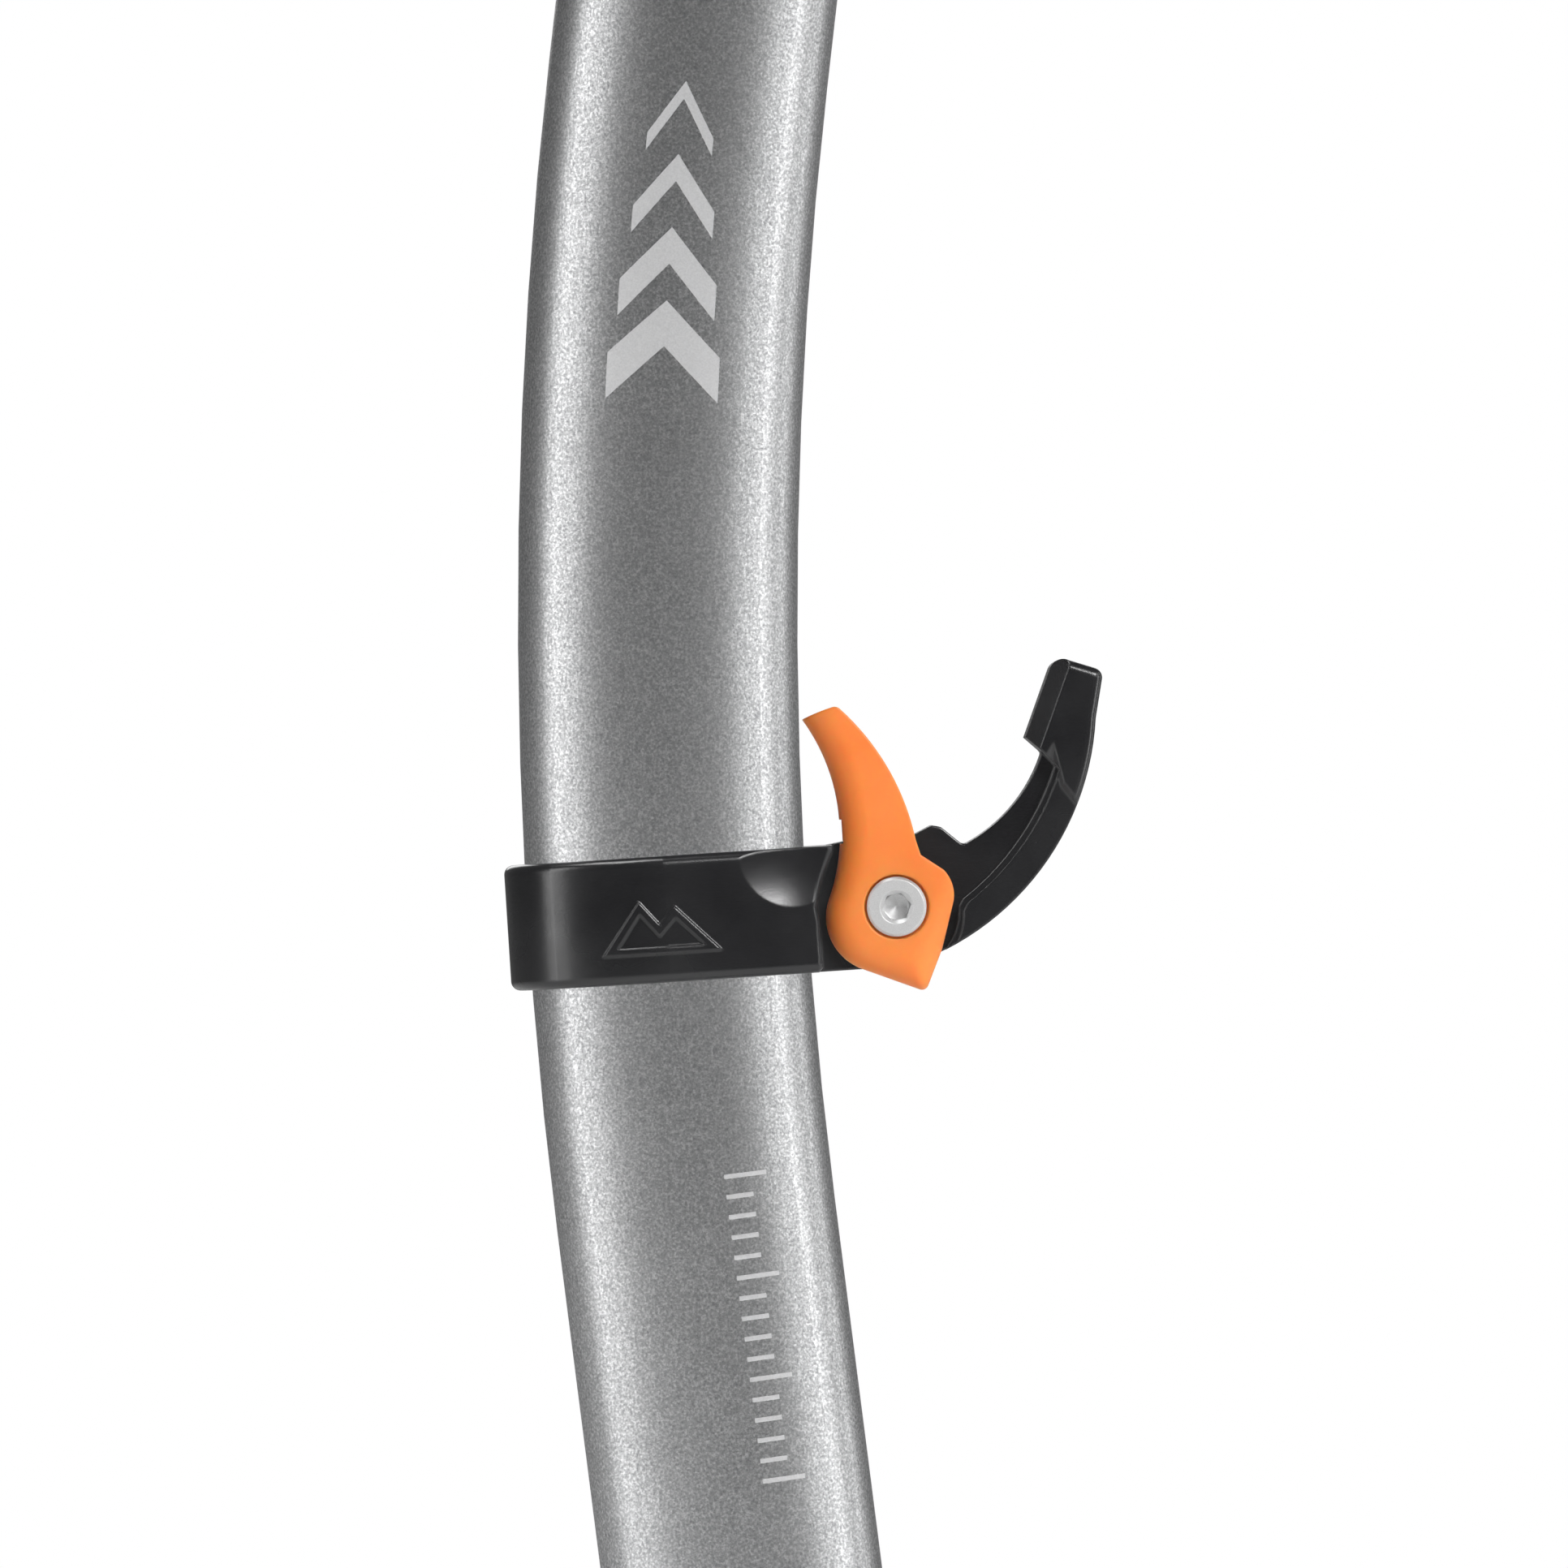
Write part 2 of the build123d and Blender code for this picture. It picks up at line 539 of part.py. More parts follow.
def ring_plan(grow=0.0):
    """The ring seen from above, before the cam pocket: round behind, flanks closing in slightly ahead."""
    back = SHAFT_DEPTH / 2 + RING_WALL + grow
    side = SHAFT_WIDTH / 2 + RING_WALL + grow
    end_r = SHAFT_END_R + RING_WALL + grow
    rear = oval(back, side, end_r) & Pos(-back / 2, 0) * Rectangle(back, 2 * side)
    front_x = PIVOT[0] + RING_SHOULDER[0] + 6
    front_y = RING_SHOULDER[1] - 0.5 + grow
    front = make_face(Polyline((0, -side), (front_x, -front_y), (front_x, front_y), (0, side), close=True))
    return rear + front


def badge():
    """Outline of two plain peaks, raised on the ring's flanks."""
    peaks = make_face(Polyline((-7.0, -2.8), (-2.4, 3.4), (-0.2, 0.7), (1.8, 2.6), (7.0, -2.8), close=True))
    inner = make_face(Polyline((-5.2, -2.0), (-2.4, 1.9), (-0.2, -0.8), (1.8, 1.3), (5.0, -2.0), close=True))
    return peaks - inner


def make_ring():
    """The ring in its own frame, before anything is cut from it."""
    ring = extrude(Pos(0, 0, -RING_H / 2) * ring_plan(), RING_H)
    ring = fillet(ring.edges().group_by(Axis.Z)[0] + ring.edges().group_by(Axis.Z)[-1], RING_EDGE_R)
    proud = extrude(Pos(0, 0, -RING_H / 2) * ring_plan(BADGE_PROUD), RING_H)
    ring += slab(Pos(*BADGE_PLACE) * badge(), 2 * SHAFT_WIDTH) & proud
    for side in (-1, 1):
        y = side * (RING_SHOULDER[1] + SCOOP_R - SCOOP_DEPTH)
        ring -= Pos(PIVOT[0] + SCOOP_PLACE[0], y, PIVOT[1] + SCOOP_PLACE[1]) * Sphere(SCOOP_R)
    return ring


def make_hook():
    """The hook with its root, broken at the outer edges, before anything is cut from it."""
    hook = slab(hook_outline(), HOOK_Y)
    rims = hook.edges().filter_by(lambda e: abs(abs(e.center().Y) - HOOK_Y) < 1e-3)
    outer = rims.filter_by(lambda e: e.center().Z > 19 or (e.center().X > 15 and e.center().Z < 12))
    hook = fillet(outer, HOOK_EDGE_R)
    # the nose is bevelled towards the finger gap
    wide, deep = NOSE_BEVEL
    lip = Vector(*polar(CATCH_R + 0.05, 49.0))
    run = (Vector(*CREST) - lip).normalized()
    start = lip - run * 3
    along_face, across_face = (wide * (1 + 3 / deep), -3), (-3, deep * (1 + 3 / wide))
    corner = make_face(Polyline((-3, -3), along_face, across_face, close=True))
    for side in (-1, 1):
        z_dir = (-side * run.X, 0, -side * run.Y)
        across = Plane(origin=(start.X, side * HOOK_Y, start.Y), x_dir=(run.Y, 0, -run.X), z_dir=z_dir)
        hook -= extrude(across * corner, -side * 16)
    # below the nose a slope leads down to the rim's lower face
    field = make_face(Polyline(*RIM_LINE, (30, 8), (30, -14), (0, -14), (0, 0), (14, 9), close=True))
    drop = Pos(0, RIM_DROP - HOOK_Y, 0) * extrude(Plane.XZ * field, 2 * RIM_DROP, taper=-45)
    return hook - drop - mirror(drop, Plane.XZ)


def make_rest_body():
    ring = Pos(-PIVOT[0], 0, -PIVOT[1]) * make_ring()
    hook = make_hook()
    for low, high in ((-2 * SHAFT_WIDTH, -ROOT_Y), (ROOT_Y, 2 * SHAFT_WIDTH)):
        ring -= layer(lever_room(), low, high)
        hook -= layer(lever_room(), low, high)
    for low, high in ((-2 * SHAFT_WIDTH, STEP_LIP - HOOK_Y), (HOOK_Y - STEP_LIP, 2 * SHAFT_WIDTH)):
        hook -= layer(Pos(*STEP_SHIFT) * lever_room(), low, high)
    ends = ring.edges().filter_by(lambda e: e.center().X > -9.6 and abs(e.center().Y) > 11)
    ring = chamfer(ends.filter_by(lambda e: abs(e.center().Z) < 5), SHOULDER_CHAMFER)
    body = ring + hook
    bore = extrude(Pos(0, 0, -RING_H) * tube_section(RING_GAP), 2 * RING_H)
    body -= Pos(-PIVOT[0], 0, -PIVOT[1]) * bore
    # cam pocket, open to the tube, and the bores of both ears
    body -= slab(Circle(CAM_POCKET_R) + Pos(-8, 0) * Rectangle(16, 2 * (SHOE_HALF_H + FIT_GAP)), POCKET_Y)
    body -= cross_pin(EAR_BORE_R, -SHAFT_WIDTH, SHAFT_WIDTH)
    return REST * body


# ---- hand rest: clamp pieces about the pivot ----
def make_drive_sleeve():
    sleeve = slab(hexagon(SLEEVE_FLATS), SLEEVE_END_Y) - cross_pin(SLEEVE_BORE_R, -LEVER_Y, LEVER_Y)
    return REST * sleeve


def make_clamp_cam():
    disc = slab(Pos(*polar(CAM_OFFSET, CAM_START)) * Circle(CAM_R), CAM_Y)
    return REST * (disc - slab(hexagon(SLEEVE_FLATS + 2 * CAM_GAP), LEVER_Y))


def shoe_block(low, high):
    """A block of the shoe's section between two distances ahead of the pivot."""
    middle, length = (low + high) / 2, high - low
    return Pos(middle, 0, 0) * Box(length, 2 * (POCKET_Y - SHOE_GAP), 2 * SHOE_HALF_H)


def cam_reach():
    """How far the cam reaches towards the tube with the lever open."""
    return CAM_R + CAM_OFFSET * cos(radians(180 - CAM_START))


def make_clamp_shoe():
    return REST * shoe_block(PAD_BACK, -cam_reach() - CAM_GAP)


def shoe_travel():
    return CAM_OFFSET * (cos(radians(180 - CAM_START + LEVER_TRAVEL)) - cos(radians(180 - CAM_START)))


def make_shoe_pad():
    face = extrude(Pos(0, 0, -RING_H) * tube_section(shoe_travel() + 2 * CAM_GAP), 2 * RING_H)
    return REST * (shoe_block(PAD_BACK - 3.0, PAD_BACK) - Pos(-PIVOT[0], 0, -PIVOT[1]) * face)


def make_pivot_screw():
    top = -CHEEK_FLOOR_Y - SCREW_HEAD_H
    head = cross_pin(SCREW_HEAD_R, top, -CHEEK_FLOOR_Y)
    head = chamfer(head.edges().sort_by(Axis.Y)[0], 0.3)
    screw = head + cross_pin(SCREW_R, -CHEEK_FLOOR_Y, CHEEK_FLOOR_Y + SCREW_NUT_H)
    screw -= layer(hexagon(SOCKET_FLATS, SOCKET_TURN), top, top + SOCKET_DEPTH)
    mouth_r, drill_r = SOCKET_FLATS / 2 + 0.5, SOCKET_FLATS / 2 - 0.05
    screw -= Pos(0, top, 0) * Rot(-90, 0, 0) * Cone(mouth_r, 0, mouth_r, align=STANDING)
    drill = Cone(drill_r, 0, drill_r * 0.6, align=STANDING)
    return REST * (screw - Pos(0, top + SOCKET_DEPTH, 0) * Rot(-90, 0, 0) * drill)


def make_pivot_nut():
    nut = layer(hexagon(SCREW_NUT_FLATS), CHEEK_FLOOR_Y, CHEEK_FLOOR_Y + SCREW_NUT_H)
    return REST * (nut - cross_pin(SCREW_R + 0.02, 0, LEVER_Y))


NODES = {
    "shaft": make_shaft,
    "head_body": make_head_body,
    "pick": make_pick,
    "adze": make_adze,
    "pick_bolt_front": lambda: head_bolt(PICK_BOLT_FRONT),
    "pick_bolt_rear": lambda: head_bolt(PICK_BOLT_REAR),
    "adze_bolt": lambda: head_bolt(ADZE_BOLT),
    "pick_nut_front": lambda: head_nut(PICK_BOLT_FRONT),
    "pick_nut_rear": lambda: head_nut(PICK_BOLT_REAR),
    "adze_nut": lambda: head_nut(ADZE_BOLT),
    "head_rivet_upper": lambda: rivet(HEAD, HEAD_RIVETS[0]),
    "head_rivet_lower": lambda: rivet(HEAD, HEAD_RIVETS[1]),
    "spike_ferrule": make_ferrule,
    "spike": make_spike,
    "spike_rivet_lower": lambda: rivet(FOOT, SPIKE_RIVETS[0]),
    "spike_rivet_upper": lambda: rivet(FOOT, SPIKE_RIVETS[1]),
    "rest_body": make_rest_body,
    "rest_lever": make_lever,
    "drive_sleeve": make_drive_sleeve,
    "clamp_cam": make_clamp_cam,
    "clamp_shoe": make_clamp_shoe,
    "shoe_pad": make_shoe_pad,
    "pivot_screw": make_pivot_screw,
    "pivot_nut": make_pivot_nut,
}


def main():
    os.makedirs("parts", exist_ok=True)
    for name, make in NODES.items():
        shape = make()
        export_step(shape, f"parts/{name}.step")
        box = shape.bounding_box()
        heights = f"z {box.min.Z:7.1f} {box.max.Z:7.1f}"
        print(f"{name:18} solids {len(shape.solids())}  volume {shape.volume:9.0f}  {heights}")


main()
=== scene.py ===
"""Looks for the ice axe: materials, laser-etched marks, light and camera. The shape is the CAD frame's."""

from math import cos, pi, radians, sin, sqrt

import bmesh
import bpy
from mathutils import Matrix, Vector


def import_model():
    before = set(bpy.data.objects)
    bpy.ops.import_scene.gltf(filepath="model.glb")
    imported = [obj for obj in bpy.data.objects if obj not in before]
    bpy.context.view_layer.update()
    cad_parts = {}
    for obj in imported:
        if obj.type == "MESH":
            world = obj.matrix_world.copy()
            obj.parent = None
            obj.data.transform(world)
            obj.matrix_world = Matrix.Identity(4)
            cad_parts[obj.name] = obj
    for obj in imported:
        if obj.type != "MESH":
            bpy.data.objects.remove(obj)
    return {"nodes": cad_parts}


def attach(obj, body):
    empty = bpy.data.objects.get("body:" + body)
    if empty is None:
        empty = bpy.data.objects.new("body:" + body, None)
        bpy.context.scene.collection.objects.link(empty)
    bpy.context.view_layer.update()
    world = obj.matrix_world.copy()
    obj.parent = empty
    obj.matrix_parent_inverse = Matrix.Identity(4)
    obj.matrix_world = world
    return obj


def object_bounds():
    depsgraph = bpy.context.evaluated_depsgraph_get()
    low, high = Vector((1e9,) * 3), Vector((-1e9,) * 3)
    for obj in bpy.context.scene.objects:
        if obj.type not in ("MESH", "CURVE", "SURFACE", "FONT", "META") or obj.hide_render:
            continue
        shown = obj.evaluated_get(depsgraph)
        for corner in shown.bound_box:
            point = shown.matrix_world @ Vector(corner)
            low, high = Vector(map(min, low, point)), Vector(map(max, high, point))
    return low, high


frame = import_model()
cad_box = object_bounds()
MM = 0.001

# ---- the shaft's line and section, as in the CAD, in millimetres and degrees ----
BEND_R = 560.0
BEND_UP = 6.5
BEND_DOWN = 7.3
BEND_AT = (-16.618, -177.655)      # where the shaft runs vertically, x and z
SIDE_R = 22.75                     # radius of the section's flatter sides
SIDE_DROP = 11.25                  # distance of that arc's centre beyond the middle

# ---- laser-etched marks, in millimetres up the shaft from the vertical point and ahead of its centre ----
ETCH_LIFT = 0.03                   # the skin stands this far off the tube
ETCH_EDGE = 1.6                    # longest edge in the skin, so that it follows the tube
PEAK_COUNT = 4
PEAK_FOOT = 30.0                   # where the lowest peak starts
PEAK_PITCH = 8.6
PEAK_HALF = (6.6, 0.9)             # half the width of the lowest peak, and how much less each next one has
PEAK_THICK = (5.4, 1.1)            # the same for the thickness of its bars
PEAK_RISE = 6.4
TICK_COUNT = 16
TICK_FOOT = -103.0
TICK_PITCH = 2.4
TICK_START = 3.9                   # ahead of the shaft's centre
TICK_LONG = 5.0                    # every fifth tick
TICK_SHORT = 3.2
TICK_HEIGHT = 0.55
LONG_EVERY = 5

# ---- floor and camera, in metres unless named otherwise ----
FLOOR_DROP = 0.012                 # below the spike's point
FLOOR_HALF = 3.0
FLOOR_GLOW = 0.78
FLOOR_SHADE = 0.20
FLOOR_FADE = (0.6, 2.4)            # from the axe, where the floor starts to fade and where it is all white
ANCHOR = Vector((-1.7 * MM, 0, -197.96 * MM))     # the middle of the picture
CAMERA_Y = -1.6
FRAME_MM = 185.06                  # width that the picture takes in at the axe
SENSOR_MM = 36.0
WORLD_FRONT = 0.155                # strength of the studio's fill light
WORLD_BACK = 0.17


def grey(value):
    return (value, value, value)


# ---- shader helpers ----
class Nodes:
    """A new procedural material, with short names for the nodes that it is made of."""

    def __init__(self, name):
        self.mat = bpy.data.materials.new(name)
        self.mat.use_nodes = True
        self.tree = self.mat.node_tree
        self.bsdf = next(n for n in self.tree.nodes if n.type == "BSDF_PRINCIPLED")
        self.place = self.add("ShaderNodeTexCoord").outputs["Object"]

    def add(self, kind, **settings):
        node = self.tree.nodes.new(kind)
        for key, value in settings.items():
            setattr(node, key, value)
        return node

    def link(self, source, target):
        self.tree.links.new(source, target)

    def feed(self, source, name):
        """Drives one of the surface's own inputs."""
        self.link(source, self.bsdf.inputs[name])

    def set(self, **values):
        for key, value in values.items():
            self.bsdf.inputs[key.replace("_", " ")].default_value = value

    def noise(self, grain_mm, detail=2.0, rough=0.5, stretch=(1, 1, 1)):
        """Noise whose grain is about grain_mm across, drawn out along each axis by stretch."""
        mapping = self.add("ShaderNodeMapping")
        mapping.inputs["Scale"].default_value = [1 / (grain_mm * MM * k) for k in stretch]
        self.link(self.place, mapping.inputs["Vector"])
        noise = self.add("ShaderNodeTexNoise")
        noise.inputs["Scale"].default_value = 1.0
        noise.inputs["Detail"].default_value = detail
        noise.inputs["Roughness"].default_value = rough
        self.link(mapping.outputs["Vector"], noise.inputs["Vector"])
        return noise.outputs["Fac"]

    def spread(self, source, low, high, start=0.0, end=1.0):
        """source from start..end becomes low..high."""
        node = self.add("ShaderNodeMapRange")
        for key, value in (("From Min", start), ("From Max", end), ("To Min", low), ("To Max", high)):
            node.inputs[key].default_value = value
        self.link(source, node.inputs["Value"])
        return node.outputs["Result"]

    def tint(self, source, *stops):
        """Colour ramp over source; stops are (position, (r, g, b))."""
        ramp = self.add("ShaderNodeValToRGB")
        while len(ramp.color_ramp.elements) < len(stops):
            ramp.color_ramp.elements.new(0.5)
        for element, (position, colour) in zip(ramp.color_ramp.elements, stops):
            element.position = position
            element.color = (*colour, 1.0)
        self.link(source, ramp.inputs["Fac"])
        return ramp.outputs["Color"]

    def multiply(self, a, b):
        mix = self.add("ShaderNodeMix", data_type="RGBA", blend_type="MULTIPLY")
        mix.inputs[0].default_value = 1.0
        self.link(a, mix.inputs[6])
        self.link(b, mix.inputs[7])
        return mix.outputs[2]

    def bump(self, source, height_mm, onto=None):
        """Relief height_mm deep, on top of another bump or soft edges where onto gives them."""
        node = self.add("ShaderNodeBump")
        node.inputs["Strength"].default_value = 1.0
        node.inputs["Distance"].default_value = height_mm * MM
        self.link(source, node.inputs["Height"])
        if onto is not None:
            self.link(onto, node.inputs["Normal"])
        self.feed(node.outputs["Normal"], "Normal")
        return node.outputs["Normal"]

    def soft_edges(self, radius_mm):
        """Corners shade as if rounded off by radius_mm. A bump goes on top of it."""
        node = self.add("ShaderNodeBevel", samples=8)
        node.inputs["Radius"].default_value = radius_mm * MM
        return node.outputs["Normal"]


# ---- materials ----
def blasted_aluminium():
    """Bead-blasted and clear-anodised tube: coarse bright speckle over a soft metal."""
    m = Nodes("blasted_aluminium")
    m.set(Metallic=1.0)
    speckle = m.noise(0.34, 3.0, 0.7)
    cloud = m.noise(9.0)
    dark, middle, bright = (0.30, 0.30, 0.31), (0.52, 0.525, 0.53), (0.86, 0.86, 0.865)
    colour = m.tint(speckle, (0.30, dark), (0.50, middle), (0.68, bright))
    m.feed(m.multiply(colour, m.tint(cloud, (0.3, grey(0.94)), (0.7, grey(1.0)))), "Base Color")
    m.feed(m.spread(speckle, 0.46, 0.36, 0.3, 0.7), "Roughness")
    m.bump(m.noise(0.30, 2.0, 0.6), 0.020)
    return m.mat


def laser_etch():
    """Laser-etched silver: brighter and smoother than the tube round it."""
    m = Nodes("laser_etch")
    m.set(Metallic=0.35)
    grain = m.noise(0.22, 2.0, 0.6)
    m.feed(m.tint(grain, (0.3, (0.82, 0.82, 0.825)), (0.7, (0.94, 0.94, 0.945))), "Base Color")
    m.feed(m.spread(grain, 0.50, 0.62), "Roughness")
    m.bump(grain, 0.004)
    return m.mat


def black_nylon():
    """Moulded nylon with a fine spark texture and the slow waviness of a cooled moulding."""
    m = Nodes("black_nylon")
    m.set(Specular_IOR_Level=0.6)
    grain = m.noise(0.28, 2.0, 0.6)
    flow = m.noise(12.0, 3.0, 0.5)
    m.feed(m.tint(flow, (0.3, (0.007, 0.007, 0.008)), (0.7, (0.011, 0.011, 0.012))), "Base Color")
    m.feed(m.spread(flow, 0.20, 0.30, 0.3, 0.7), "Roughness")
    m.bump(flow, 0.10, m.bump(grain, 0.008, m.soft_edges(0.45)))
    return m.mat


def orange_nylon():
    """Unfilled nylon, a little translucent, so that light reddens inside it."""
    m = Nodes("orange_nylon")
    m.set(Specular_IOR_Level=0.42, Subsurface_Weight=0.7, Subsurface_Scale=0.004)
    m.set(Subsurface_Radius=(1.0, 0.10, 0.03))
    grain = m.noise(0.25, 2.0, 0.6)
    flow = m.noise(8.0, 3.0, 0.5)
    m.feed(m.tint(flow, (0.3, (0.88, 0.235, 0.040)), (0.7, (0.92, 0.265, 0.050))), "Base Color")
    m.feed(m.spread(flow, 0.42, 0.50, 0.3, 0.7), "Roughness")
    m.bump(grain, 0.004, m.soft_edges(0.5))
    return m.mat


def steel(name, dark, light, rough, grain_mm, bump_mm, stretch=(1, 1, 1)):
    """Bare steel with a grain, and broad faint stains."""
    m = Nodes(name)
    m.set(Metallic=1.0)
    grain = m.noise(grain_mm, 3.0, 0.65, stretch)
    stain = m.tint(m.noise(14.0, 4.0, 0.6), (0.3, (0.86, 0.86, 0.87)), (0.65, grey(1.0)))
    m.feed(m.multiply(m.tint(grain, (0.3, dark), (0.7, light)), stain), "Base Color")
    m.feed(m.spread(grain, rough - 0.06, rough + 0.08, 0.3, 0.7), "Roughness")
    m.bump(grain, bump_mm)
    return m.mat


def tumbled_stainless():
    """Small stainless fasteners with a pale satin skin from tumbling."""
    m = Nodes("tumbled_stainless")
    m.set(Metallic=0.55)
    grain = m.noise(0.12)
    m.feed(m.tint(grain, (0.3, grey(0.53)), (0.7, grey(0.63))), "Base Color")
    m.feed(m.spread(grain, 0.36, 0.46, 0.3, 0.7), "Roughness")
    m.bump(grain, 0.003, m.soft_edges(0.12))
    return m.mat


def forged_aluminium():
    """Shot-peened forging with a dark anodised skin."""
    m = Nodes("forged_aluminium")
    m.set(Metallic=0.9)
    grain = m.noise(0.55, 3.0, 0.6)
    m.feed(m.tint(grain, (0.3, (0.085, 0.088, 0.093)), (0.7, (0.15, 0.155, 0.16))), "Base Color")
    m.feed(m.spread(grain, 0.40, 0.54, 0.3, 0.7), "Roughness")
    m.bump(grain, 0.02)
    return m.mat


def soft_black(name, rough, grain_mm, bump_mm):
    """Acetal or rubber inside the clamp."""
    m = Nodes(name)
    grain = m.noise(grain_mm, 3.0, 0.6)
    m.feed(m.tint(grain, (0.3, (0.016, 0.016, 0.017)), (0.7, (0.030, 0.030, 0.031))), "Base Color")
    m.feed(m.spread(grain, rough - 0.05, rough + 0.08), "Roughness")
    m.bump(grain, bump_mm)
    return m.mat


def pale_floor():
    """Bounces light as pale paint does. Seen directly it also glows, and fades to white far from the axe."""
    m = Nodes("pale_floor")
    m.feed(m.tint(m.noise(40.0, 4.0), (0.3, grey(0.80)), (0.7, grey(0.84))), "Base Color")
    m.set(Roughness=0.8)
    reach = m.add("ShaderNodeVectorMath", operation="LENGTH")
    m.link(m.place, reach.inputs[0])
    glow = m.add("ShaderNodeEmission")
    m.link(m.spread(reach.outputs["Value"], FLOOR_GLOW, 1.0, *FLOOR_FADE), glow.inputs["Strength"])
    paint = m.add("ShaderNodeBsdfDiffuse")
    paint.inputs["Color"].default_value = (*grey(FLOOR_SHADE), 1)
    seen = m.add("ShaderNodeAddShader")
    m.link(glow.outputs[0], seen.inputs[0])
    m.link(paint.outputs[0], seen.inputs[1])
    mix = m.add("ShaderNodeMixShader")
    m.link(m.add("ShaderNodeLightPath").outputs["Is Camera Ray"], mix.inputs[0])
    m.link(m.bsdf.outputs[0], mix.inputs[1])
    m.link(seen.outputs[0], mix.inputs[2])
    surface = next(n for n in m.tree.nodes if n.type == "OUTPUT_MATERIAL")
    m.link(mix.outputs[0], surface.inputs["Surface"])
    return m.mat


def dress_nodes():
    """Gives every CAD node its material."""
    nylon, stainless = black_nylon(), tumbled_stainless()
    blade = steel("ground_steel", (0.38, 0.385, 0.39), (0.50, 0.505, 0.51), 0.36, 0.30, 0.0012, (6, 1, 1))
    rivet = steel("rivet_steel", (0.44, 0.445, 0.45), (0.58, 0.585, 0.59), 0.28, 0.40, 0.004)
    acetal = soft_black("black_acetal", 0.40, 0.5, 0.006)
    looks = {
        "shaft": blasted_aluminium(), "head_body": forged_aluminium(),
        "pick": blade, "adze": blade, "spike": blade, "spike_ferrule": nylon,
        "rest_body": nylon, "rest_lever": orange_nylon(),
        "clamp_cam": acetal, "clamp_shoe": acetal, "shoe_pad": soft_black("pad_rubber", 0.80, 0.35, 0.02),
    }
    for name, node in frame["nodes"].items():
        look = looks.get(name, rivet if "rivet" in name else stainless)
        for slot in node.material_slots:
            slot.material = look


# ---- laser-etched marks: plain peaks above the rest and a plain tick scale below it ----
def on_shaft(s, w):
    """Point on the front of the shaft, s up the shaft from its vertical point and w ahead of its centre."""
    s_up, s_down = BEND_R * radians(BEND_UP), -BEND_R * radians(BEND_DOWN)
    on_arc = min(max(s, s_down), s_up)
    lean = on_arc / BEND_R
    x = BEND_AT[0] + BEND_R * (1 - cos(lean)) + (s - on_arc) * sin(lean)
    z = BEND_AT[1] + BEND_R * sin(lean) + (s - on_arc) * cos(lean)
    y = sqrt(SIDE_R**2 - w**2) - SIDE_DROP + ETCH_LIFT
    return Vector(((x + w * cos(lean)) * MM, -y * MM, (z - w * sin(lean)) * MM))


def etch(name, outlines, finish):
    """A thin skin on the front of the shaft. outlines are lists of (ahead, up) in mm."""
    bm = bmesh.new()
    for outline in outlines:
        bm.faces.new([bm.verts.new((w, s, 0)) for w, s in outline])
    bmesh.ops.triangulate(bm, faces=bm.faces[:], ngon_method="EAR_CLIP")
    while long_edges := [e for e in bm.edges if e.calc_length() > ETCH_EDGE]:
        bmesh.ops.subdivide_edges(bm, edges=long_edges, cuts=1)
        bmesh.ops.triangulate(bm, faces=bm.faces[:])
    for v in bm.verts:
        v.co = on_shaft(v.co.y, v.co.x)
    for f in bm.faces:
        f.normal_update()
        if f.normal.y > 0:
            f.normal_flip()
    mesh = bpy.data.meshes.new(name)
    bm.to_mesh(mesh)
    bm.free()
    mesh.materials.append(finish)
    obj = bpy.data.objects.new(name, mesh)
    bpy.context.collection.objects.link(obj)
    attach(obj, "axe")
    return obj


def peak(i):
    """Two sloping bars that meet at the top, smaller the higher it is."""
    foot = PEAK_FOOT + i * PEAK_PITCH
    half, thick = (size - i * less for size, less in (PEAK_HALF, PEAK_THICK))
    outer = [(-half, foot), (0, foot + PEAK_RISE), (half, foot)]
    return outer + [(w, s - thick) for w, s in reversed(outer)]


def tick(i):
    length = TICK_SHORT if i % LONG_EVERY else TICK_LONG
    low, high = (TICK_FOOT + i * TICK_PITCH + half for half in (-TICK_HEIGHT / 2, TICK_HEIGHT / 2))
    near, far = TICK_START, TICK_START + length
    return [(near, low), (far, low), (far, high), (near, high)]


# ---- studio ----
def floor():
    mesh = bpy.data.meshes.new("floor")
    z = cad_box[0][2] - FLOOR_DROP
    corners = [(x * FLOOR_HALF, y * FLOOR_HALF, z) for x, y in ((-1, -1), (1, -1), (1, 1), (-1, 1))]
    mesh.from_pydata(corners, [], [(0, 1, 2, 3)])
    mesh.materials.append(pale_floor())
    obj = bpy.data.objects.new("floor", mesh)
    bpy.context.collection.objects.link(obj)


def softbox(name, azimuth, height, size, power, distance=1.2, leave_out=(), pass_through=()):
    """A rectangular light aimed at the hand rest. Azimuth 0 is in front, positive to the right.

    It doesn't light what is in leave_out, and what is in pass_through casts no shadow from it.
    """
    light = bpy.data.lights.new(name, "AREA")
    light.shape = "RECTANGLE"
    light.size, light.size_y = size
    light.energy = power
    obj = bpy.data.objects.new(name, light)
    a = radians(azimuth)
    obj.location = ANCHOR + Vector((sin(a) * distance, -cos(a) * distance, height))
    obj.rotation_euler = (ANCHOR - obj.location).to_track_quat("-Z", "Y").to_euler()
    obj.visible_camera = False
    bpy.context.collection.objects.link(obj)
    for setting, excluded in (("receiver_collection", leave_out), ("blocker_collection", pass_through)):
        if excluded:
            group = bpy.data.collections.new(f"{name}_{setting}")
            for node in excluded:
                group.objects.link(node)
            setattr(obj.light_linking, setting, group)
            for link in group.collection_objects:
                link.light_linking.link_state = "EXCLUDE"


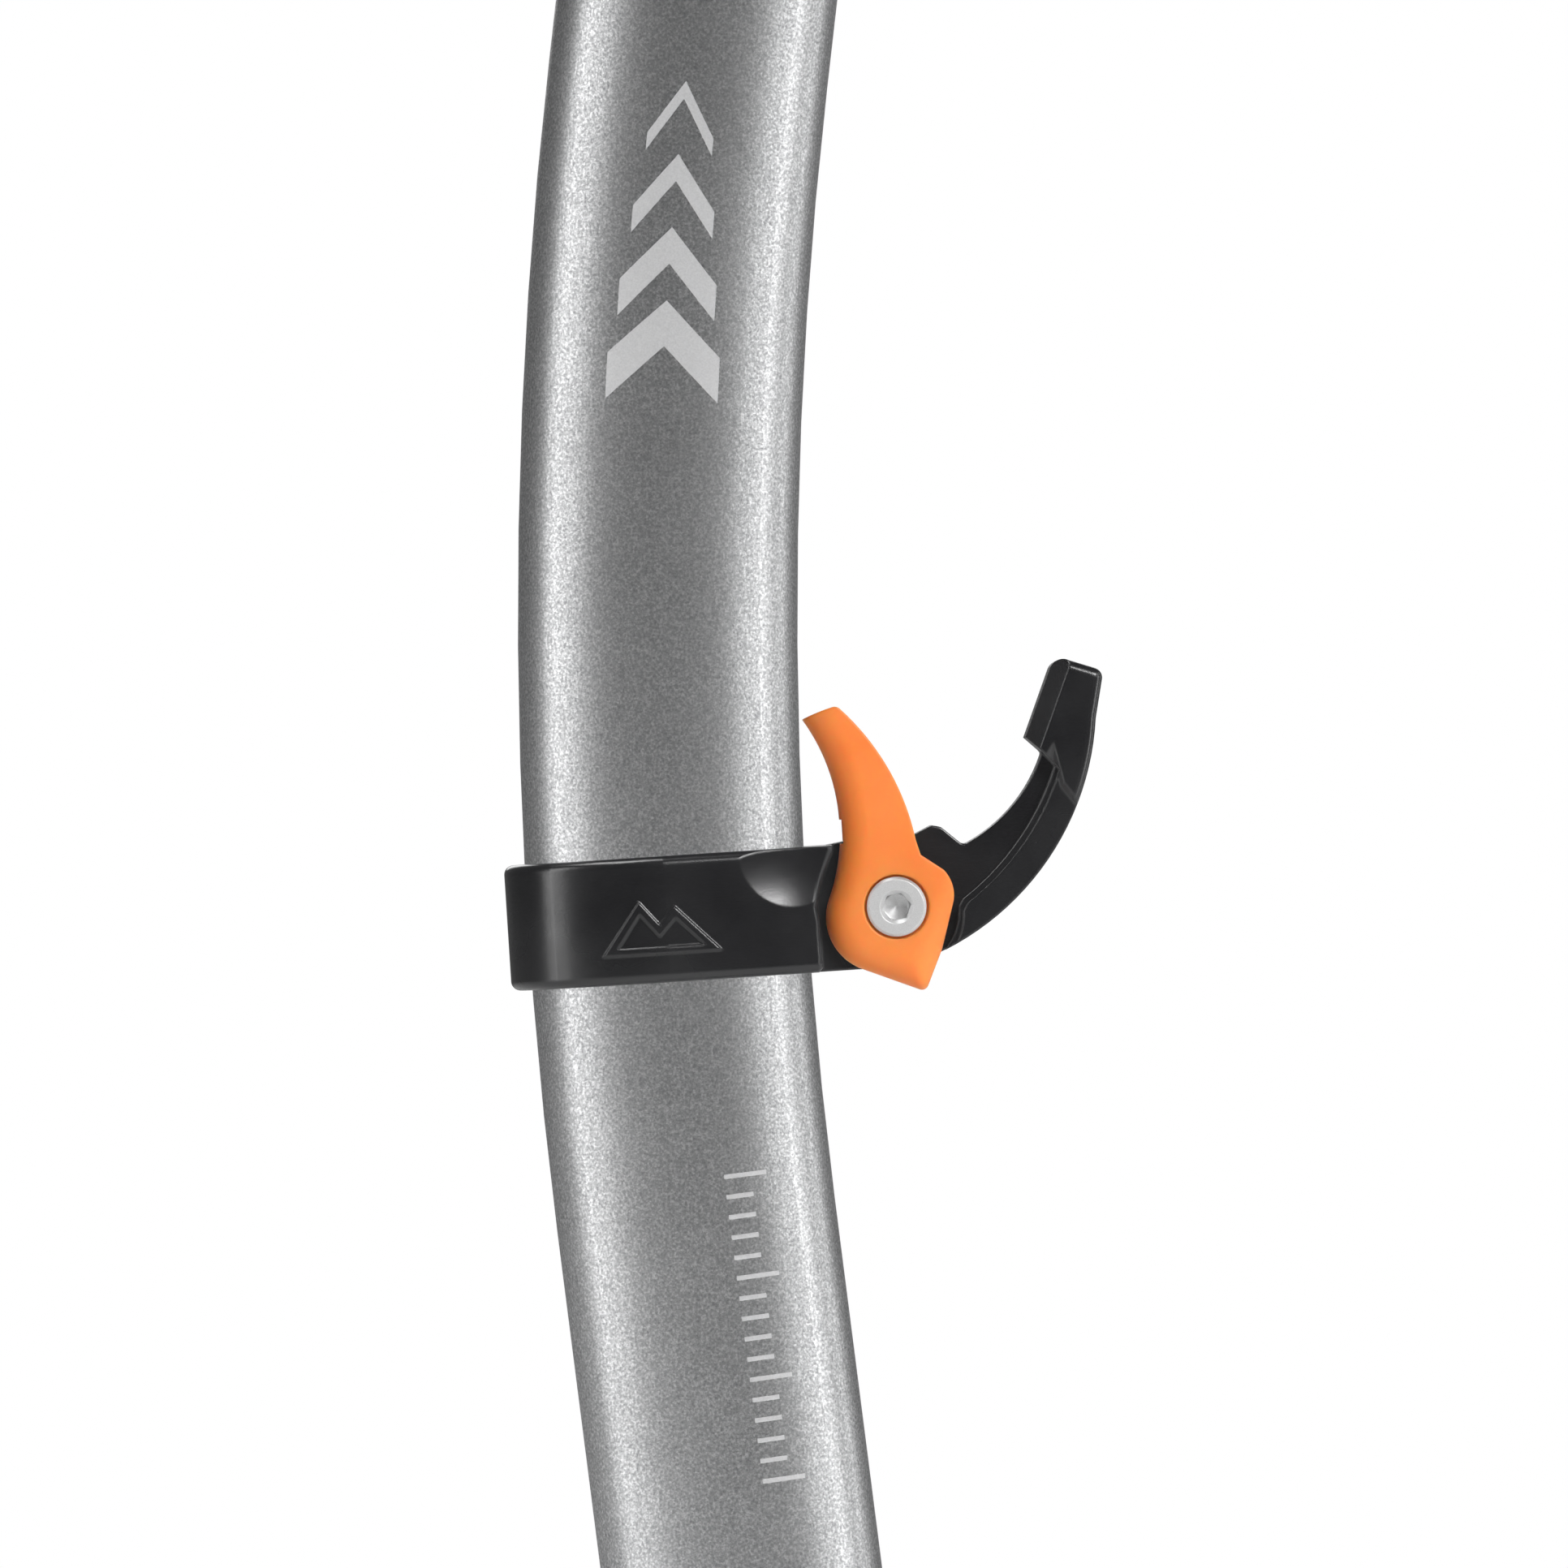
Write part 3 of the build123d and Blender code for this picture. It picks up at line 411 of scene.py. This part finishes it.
def lights(tube):
    """Two strips draw the bright bands along the tube, and the rest and lever don't interrupt them."""
    rest, lever = frame["nodes"]["rest_body"], frame["nodes"]["rest_lever"]
    strip = {"height": 0.05, "size": (0.26, 1.6), "pass_through": [rest, lever]}
    softbox("strip_left", -66, power=7.0, leave_out=[lever], **strip)
    softbox("strip_right", 66, power=6.8, **strip)
    softbox("rim_right", 104, power=3.0, **strip)
    softbox("top_front", 26, 0.55, (0.5, 0.3), 9.5, 1.0, leave_out=tube)
    softbox("overhead", -70, 1.3, (0.7, 0.5), 11, 0.45, leave_out=[lever, *tube])
    softbox("back_fill", 180, 0.6, (1.2, 0.8), 6, 1.5)
    for node in (rest, lever):
        node.visible_glossy = False


def world():
    """A white sweep when seen directly. What it lights the axe with is a little weaker in front."""
    w = bpy.data.worlds.new("studio")
    w.use_nodes = True
    tree = w.node_tree
    tree.nodes.clear()
    coord = tree.nodes.new("ShaderNodeTexCoord")
    split = tree.nodes.new("ShaderNodeSeparateXYZ")
    tree.links.new(coord.outputs["Generated"], split.inputs[0])
    fade = tree.nodes.new("ShaderNodeMapRange")
    fade.inputs["From Min"].default_value = -1.0
    fade.inputs["To Min"].default_value = WORLD_FRONT
    fade.inputs["To Max"].default_value = WORLD_BACK
    tree.links.new(split.outputs["Y"], fade.inputs["Value"])
    lit = tree.nodes.new("ShaderNodeBackground")
    tree.links.new(fade.outputs["Result"], lit.inputs["Strength"])
    seen = tree.nodes.new("ShaderNodeBackground")
    seen.inputs["Color"].default_value = (*grey(1.0), 1)
    path = tree.nodes.new("ShaderNodeLightPath")
    mix = tree.nodes.new("ShaderNodeMixShader")
    out = tree.nodes.new("ShaderNodeOutputWorld")
    tree.links.new(path.outputs["Is Camera Ray"], mix.inputs[0])
    tree.links.new(lit.outputs[0], mix.inputs[1])
    tree.links.new(seen.outputs[0], mix.inputs[2])
    tree.links.new(mix.outputs[0], out.inputs[0])
    bpy.context.scene.world = w


def camera():
    """Level, square on to the axe's side."""
    eye = bpy.data.cameras.new("camera")
    eye.sensor_width = SENSOR_MM
    eye.lens = SENSOR_MM * -CAMERA_Y / (FRAME_MM * MM)
    eye.clip_end = 20.0
    obj = bpy.data.objects.new("camera", eye)
    obj.location = (ANCHOR.x, CAMERA_Y, ANCHOR.z)
    obj.rotation_euler = (pi / 2, 0, 0)
    bpy.context.collection.objects.link(obj)
    bpy.context.scene.camera = obj


dress_nodes()
etched = laser_etch()
marks = [
    etch("etched_peaks", [peak(i) for i in range(PEAK_COUNT)], etched),
    etch("etched_scale", [tick(i) for i in range(TICK_COUNT)], etched),
]
floor()
world()
lights([frame["nodes"]["shaft"], *marks])
camera()
bpy.context.scene.view_settings.view_transform = "Standard"
